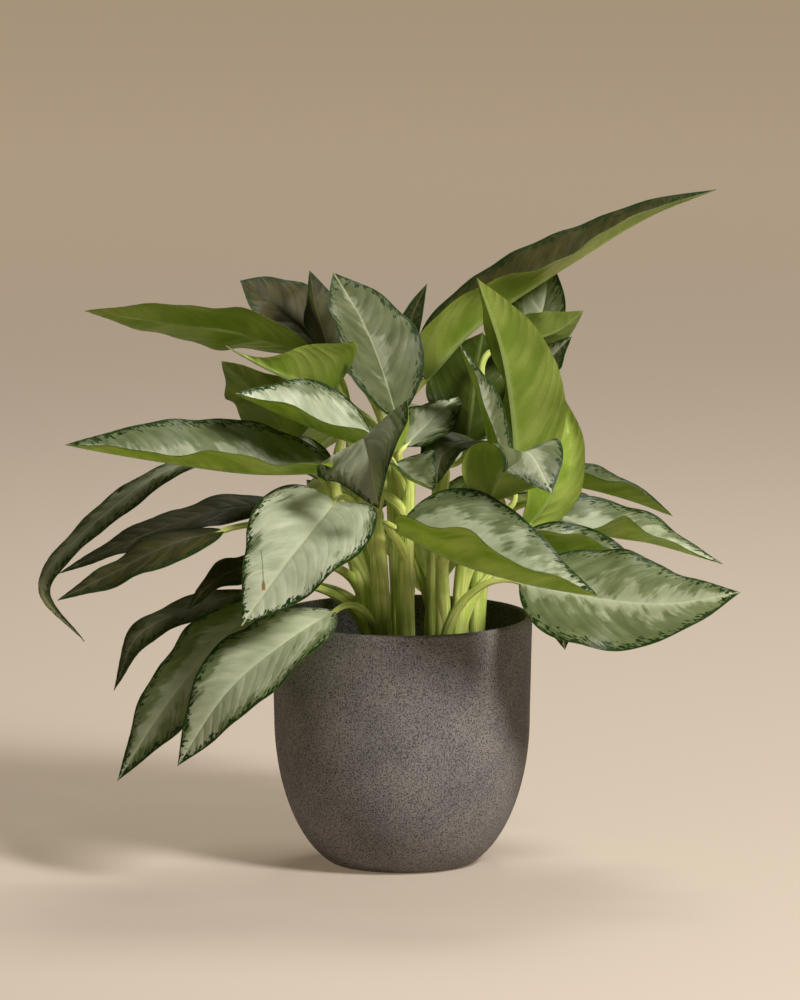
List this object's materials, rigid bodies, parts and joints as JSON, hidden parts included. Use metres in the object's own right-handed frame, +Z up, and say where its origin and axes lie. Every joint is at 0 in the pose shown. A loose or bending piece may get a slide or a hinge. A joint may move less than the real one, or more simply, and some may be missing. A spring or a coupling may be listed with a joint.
{
  "type": "potted chinese evergreen",
  "caption": "Bushy leafy house plant with broad silver and dark green blades on pale stalks, growing in a round-bottomed stoneware pot.",
  "frame": {"origin": "centre of the pot's flat foot, on the surface it stands on", "axes": "+Z up; +X to the right and -Y to the front, as the picture looks at the plant"},
  "size_m": [0.5909, 0.4201, 0.5687],
  "materials": {
    "stoneware": "matte",
    "soil": "matte",
    "stalk": "satin",
    "leaf": "satin"
  },
  "bodies": {
    "root": {"pot": "stoneware", "soil": "soil", "shoot_front_left": "stalk", "shoot_front": "stalk", "shoot_front_right": "stalk", "shoot_right_front": "stalk", "shoot_right": "stalk", "shoot_left": "stalk", "shoot_middle": "stalk", "shoot_back_right": "stalk", "shoot_back_left": "stalk", "blade_front_left": "leaf", "blade_rim_left_front": "leaf", "blade_rim_left_back": "leaf", "blade_front_right": "leaf", "blade_bent_front": "leaf", "blade_curled_front": "leaf", "blade_small_folded": "leaf", "blade_small_silver": "leaf", "blade_small_inner": "leaf", "blade_left_upper_front": "leaf", "blade_left_middle": "leaf", "blade_left_drooping": "leaf", "blade_left_dark_upper": "leaf", "blade_left_dark_lower": "leaf", "blade_left_small_dark": "leaf", "blade_left_hooked": "leaf", "blade_left_broad_back": "leaf", "blade_top_left_long": "leaf", "blade_top_left_sail": "leaf", "blade_top_left_dark": "leaf", "blade_top_folded": "leaf", "blade_top_silver": "leaf", "blade_top_narrow": "leaf", "blade_top_right_long": "leaf", "blade_bright_upright": "leaf", "blade_narrow_upright": "leaf", "blade_right_rolled": "leaf", "blade_back_silver": "leaf", "blade_back_green_fold": "leaf", "blade_back_small_silver": "leaf", "blade_dark_inner": "leaf", "blade_right_silver": "leaf", "blade_right_small_low": "leaf", "blade_right_narrow": "leaf", "blade_right_long": "leaf", "blade_right_green": "leaf", "blade_back_left_high": "leaf", "blade_back_middle_high": "leaf", "blade_back_right_high": "leaf", "blade_back_left_long": "leaf", "blade_back_left_low": "leaf", "blade_back_right_low": "leaf", "blade_right_back": "leaf", "blade_left_back": "leaf", "blade_right_back_low": "leaf", "blade_back_rim": "leaf", "blade_back_upright": "leaf"}
  },
  "joints": []
}
